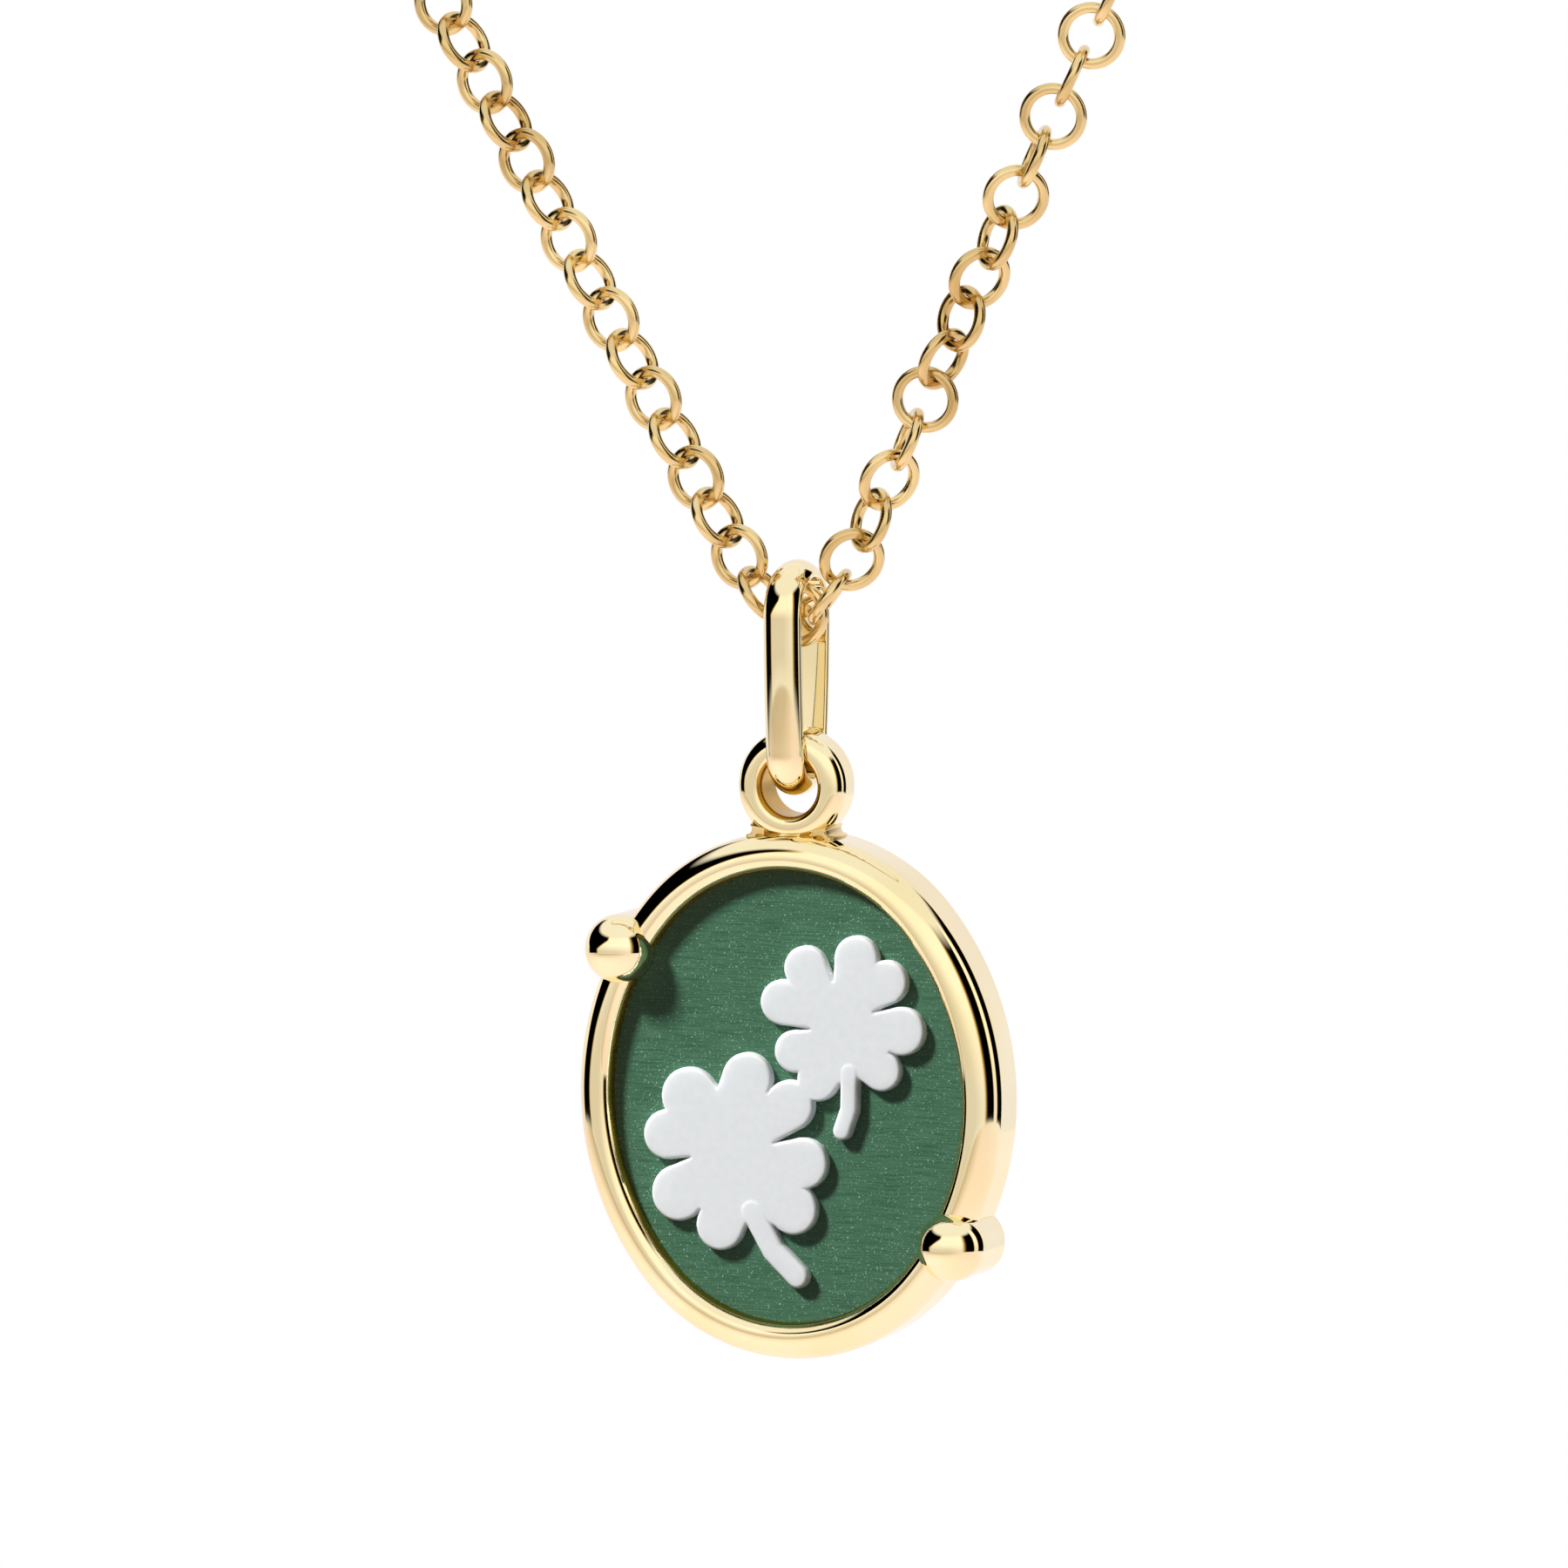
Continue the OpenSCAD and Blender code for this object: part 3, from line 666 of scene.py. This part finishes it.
def stem_distance(x, z, c, reach, line, w):
    """Distance to a stem of width w, negative inside it."""
    at = [c + polar(turn, r * reach) for turn, r in line]
    far = np.full(x.shape, 1e9)
    for a, b in zip(at[:-1], at[1:]):
        far = np.minimum(far, segment_distance(x, z, a, b) - w / 2)
    return far


def relief():
    """A grid on the stone, with its distances to the clovers' outline and to their stems."""
    x, z = np.meshgrid(np.arange(-6.6, 6.6, RELIEF_CELL), np.arange(-8.6, 7.2, RELIEF_CELL),
                       indexing="ij")
    leaves = np.minimum(leaf_distance(x, z, BIG_C, BIG_REACH, BIG_LOBES, BIG_CUTS),
                        leaf_distance(x, z, SMALL_C, SMALL_REACH, SMALL_LOBES, SMALL_CUTS))
    stems = np.minimum(stem_distance(x, z, BIG_C, BIG_REACH, BIG_STEM, BIG_STEM_W),
                       stem_distance(x, z, SMALL_C, SMALL_REACH, SMALL_STEM, SMALL_STEM_W))
    return x, z, np.minimum(leaves, stems), stems


def relief_piece():
    """The grid's inner cells, cut along the outline, with a wall down to the stone."""
    x, z, far, stems = relief()
    edge = RELIEF_EDGE
    index, points = {}, []

    def height(q, on_stem):
        """Height above the stone, q inside the outline: a rounded edge, and raised stems."""
        q = min(max(q, 0.0), edge)
        h = RELIEF_T - 0.02 - edge + edge * math.sqrt(max(0.0, 1 - (1 - q / edge) ** 2))
        s = min(max(-on_stem / STEM_BLEND, 0.0), 1.0)
        return h + STEM_LIFT * s * s * (3 - 2 * s)

    def corner(i, j):
        key = (i, j)
        if key not in index:
            index[key] = len(points)
            points.append((x[i, j], z[i, j], height(-far[i, j], stems[i, j])))
        return index[key]

    def crossing(i, j, m, n):
        key = (i, j, m, n) if (i, j) < (m, n) else (m, n, i, j)
        if key not in index:
            t = far[i, j] / (far[i, j] - far[m, n])
            index[key] = len(points)
            points.append((x[i, j] + t * (x[m, n] - x[i, j]), z[i, j] + t * (z[m, n] - z[i, j]),
                           height(0.0, stems[i, j] + t * (stems[m, n] - stems[i, j]))))
        return index[key]

    faces, rims = [], []
    inside = far < 0
    any_in = inside[:-1, :-1] | inside[1:, :-1] | inside[:-1, 1:] | inside[1:, 1:]
    for i, j in zip(*np.nonzero(any_in)):
        ring = [(i, j), (i + 1, j), (i + 1, j + 1), (i, j + 1)]
        made, cuts = [], []
        for a in range(4):
            p, q = ring[a], ring[(a + 1) % 4]
            if inside[p]:
                made.append(corner(*p))
            if inside[p] != inside[q]:
                made.append(crossing(*p, *q))
                cuts.append((made[-1], inside[p]))
        if len(made) >= 3:
            faces.append(made)
        if len(cuts) == 2:
            a, b = (cuts[0][0], cuts[1][0]) if cuts[0][1] else (cuts[1][0], cuts[0][0])
            rims.append((a, b))
    points = np.array(points)
    rim_points = sorted({a for pair in rims for a in pair})
    below = {a: len(points) + i for i, a in enumerate(rim_points)}
    low = points[rim_points].copy()
    low[:, 2] = 0
    points = np.vstack([points, low])
    for a, b in rims:
        faces.append([b, a, below[a], below[b]])
    local = place(points[:, 0], STONE_TOP + points[:, 2], points[:, 1])
    piece("white_clovers", local, [list(map(int, f)) for f in faces], "pendant",
          ["clover_relief"], WHITE)


chain()
bail()
frame_piece()
relief_piece()

for node, material in (("stone", GREEN), ("clasp", CHAIN_GOLD)):
    slots = frame["nodes"][node].data.materials
    slots.clear()
    slots.append(material)


# ---- Camera, floor and light, in metres

def camera():
    """The photo's view of the pendant, from 0.9 m through a long lens."""
    data = bpy.data.cameras.new("camera")
    made = bpy.data.objects.new("camera", data)
    bpy.context.scene.collection.objects.link(made)
    target = Vector((-0.000518, -0.075, -0.128568))
    turn, rise = math.radians(CAMERA_TURN), math.radians(CAMERA_RISE)
    back = Vector((math.sin(turn) * math.cos(rise), -math.cos(turn) * math.cos(rise),
                   math.sin(rise)))
    data.sensor_width = 36
    data.lens = 540
    data.clip_start, data.clip_end = 0.05, 60
    made.location = target + back * 0.9
    made.rotation_euler = (-back).to_track_quat("-Z", "Y").to_euler()
    bpy.context.scene.camera = made


def floor():
    """A round pale floor, plain white to the camera, which the metal mirrors as a warm light."""
    steps, radius, height = 96, 1.6, -0.45
    mesh = bpy.data.meshes.new("floor")
    turn = np.linspace(0, 2 * math.pi, steps, endpoint=False)
    edge = [(radius * math.cos(t), radius * math.sin(t), height) for t in turn]
    mesh.from_pydata(edge, [], [list(range(steps))])
    made = bpy.data.objects.new("floor", mesh)
    bpy.context.scene.collection.objects.link(made)
    material, tree, shader, where = new_material("pale_floor")
    # Metres from the front left, where the floor is dimmer, to the back right
    across = add(tree, "ShaderNodeVectorMath", {0: where, 1: (0.36, 0.93, 0)},
                 operation="DOT_PRODUCT")
    side = map_range(tree, across.outputs["Value"], -1.2, 1.2)
    glow = ramp(tree, side, [(0.0, (0.57, 0.475, 0.37)), (0.30, (0.895, 0.765, 0.735)),
                             (0.62, (0.925, 0.815, 0.82)), (1.0, (0.94, 0.89, 0.94))])
    to_camera = add(tree, "ShaderNodeLightPath").outputs["Is Camera Ray"]
    seen = mix(tree, to_camera, glow, (1, 1, 1, 1))
    tree.links.new(seen, shader.inputs["Emission Color"])
    shader.inputs["Emission Strength"].default_value = 1.0
    shader.inputs["Base Color"].default_value = (0.26, 0.25, 0.25, 1)
    shader.inputs["Roughness"].default_value = 0.9
    mesh.materials.append(material)
    made.visible_diffuse = False


def world():
    """A white studio with dark strips that polished metal mirrors as thin lines."""
    made = bpy.data.worlds.new("studio")
    bpy.context.scene.world = made
    made.use_nodes = True
    tree = made.node_tree
    where = add(tree, "ShaderNodeTexCoord").outputs["Generated"]
    turned = add(tree, "ShaderNodeMapping",
                 {"Vector": where, "Rotation": (0, 0, math.radians(-CAMERA_TURN))},
                 vector_type="POINT")
    parts = add(tree, "ShaderNodeSeparateXYZ", {"Vector": turned.outputs["Vector"]})
    up = parts.outputs["Z"]
    # Angle about the upright from the camera's side, right side positive: a whole turn is 0 to 1
    ahead = maths(tree, "MULTIPLY", parts.outputs["Y"], -1.0)
    turn = maths(tree, "ARCTAN2", parts.outputs["X"], ahead)
    share = map_range(tree, turn, -math.pi, math.pi)
    # The left strip leans: its near edge goes forward and its far edge back with height
    lean = map_range(tree, up, 0.0, 0.5)

    def at(degrees):
        return (degrees + 180) / 360

    def edge_at(start, shift, width):
        """0 before an angle that moves by shift from mid-height up, and 1 after it."""
        moved = maths(tree, "MULTIPLY_ADD", lean, -shift / 360, share)
        return map_range(tree, moved, at(start), at(start + width))

    def strip(near, far):
        return maths(tree, "SUBTRACT", edge_at(*near), edge_at(*far))

    def walls(cool, warm, dim):
        """The studio's walls at one height: cool behind, dimmer at the front left."""
        return ramp(tree, share, [(0, cool), (at(-150), cool), (at(-130), warm), (at(-70), dim),
                                  (at(-10), dim), (at(25), warm), (at(128), warm),
                                  (at(140), cool), (1, cool)])

    left = strip((-122, -36, 5), (-84, 36, 8))
    right = strip((36, 0, 16), (80, 0, 4))
    far_right = strip((99, 0, 4), (131, 0, 4))
    strips = maths(tree, "ADD", maths(tree, "ADD", left, right), far_right)
    dark = ramp(tree, strips, [(0, (1, 1, 1)), (0.35, (0.62, 0.45, 0.20)),
                               (0.7, (0.12, 0.07, 0.01)), (1, (0, 0, 0))])
    lit = mix(tree, map_range(tree, up, -0.1, 0.25),
              walls((0.95, 0.95, 1.06), (0.93, 0.91, 0.88), (0.79, 0.755, 0.72)),
              walls((0.96, 0.94, 1.02), (1.22, 1.19, 1.14), (1.20, 1.16, 1.12)))
    # The strips end above and below
    ends = maths(tree, "MAXIMUM", map_range(tree, up, 0.6, 0.7),
                 map_range(tree, up, -0.17, -0.21))
    mirrored = mix(tree, ends, mix(tree, 1.0, lit, dark, "MULTIPLY"), (1, 1, 1, 1))
    # The camera itself sees a plain white backdrop
    to_camera = add(tree, "ShaderNodeLightPath").outputs["Is Camera Ray"]
    out = tree.nodes["Background"]
    tree.links.new(mix(tree, to_camera, mirrored, (1, 1, 1, 1)), out.inputs["Color"])
    out.inputs["Strength"].default_value = 1.0
    made.cycles_visibility.diffuse = False


def soft_light(name, offset, size, energy):
    """A round soft light aimed at the pendant, which lights matt surfaces and isn't mirrored."""
    data = bpy.data.lights.new(name, "AREA")
    data.shape = "DISK"
    data.size = size
    data.energy = energy
    made = bpy.data.objects.new(name, data)
    bpy.context.scene.collection.objects.link(made)
    aim = Vector((0, -0.075, -0.14))
    made.location = aim + Vector(offset)
    made.rotation_euler = (aim - made.location).to_track_quat("-Z", "Y").to_euler()
    made.visible_glossy = False


camera()
floor()
world()
soft_light("key", (-0.50, -0.46, 0.66), 0.16, 15.0)
soft_light("fill", (0.35, -1.25, 0.35), 1.8, 1.0)
soft_light("back_fill", (0.3, 1.2, 0.7), 1.8, 4.0)
bpy.context.scene.view_settings.view_transform = "Standard"
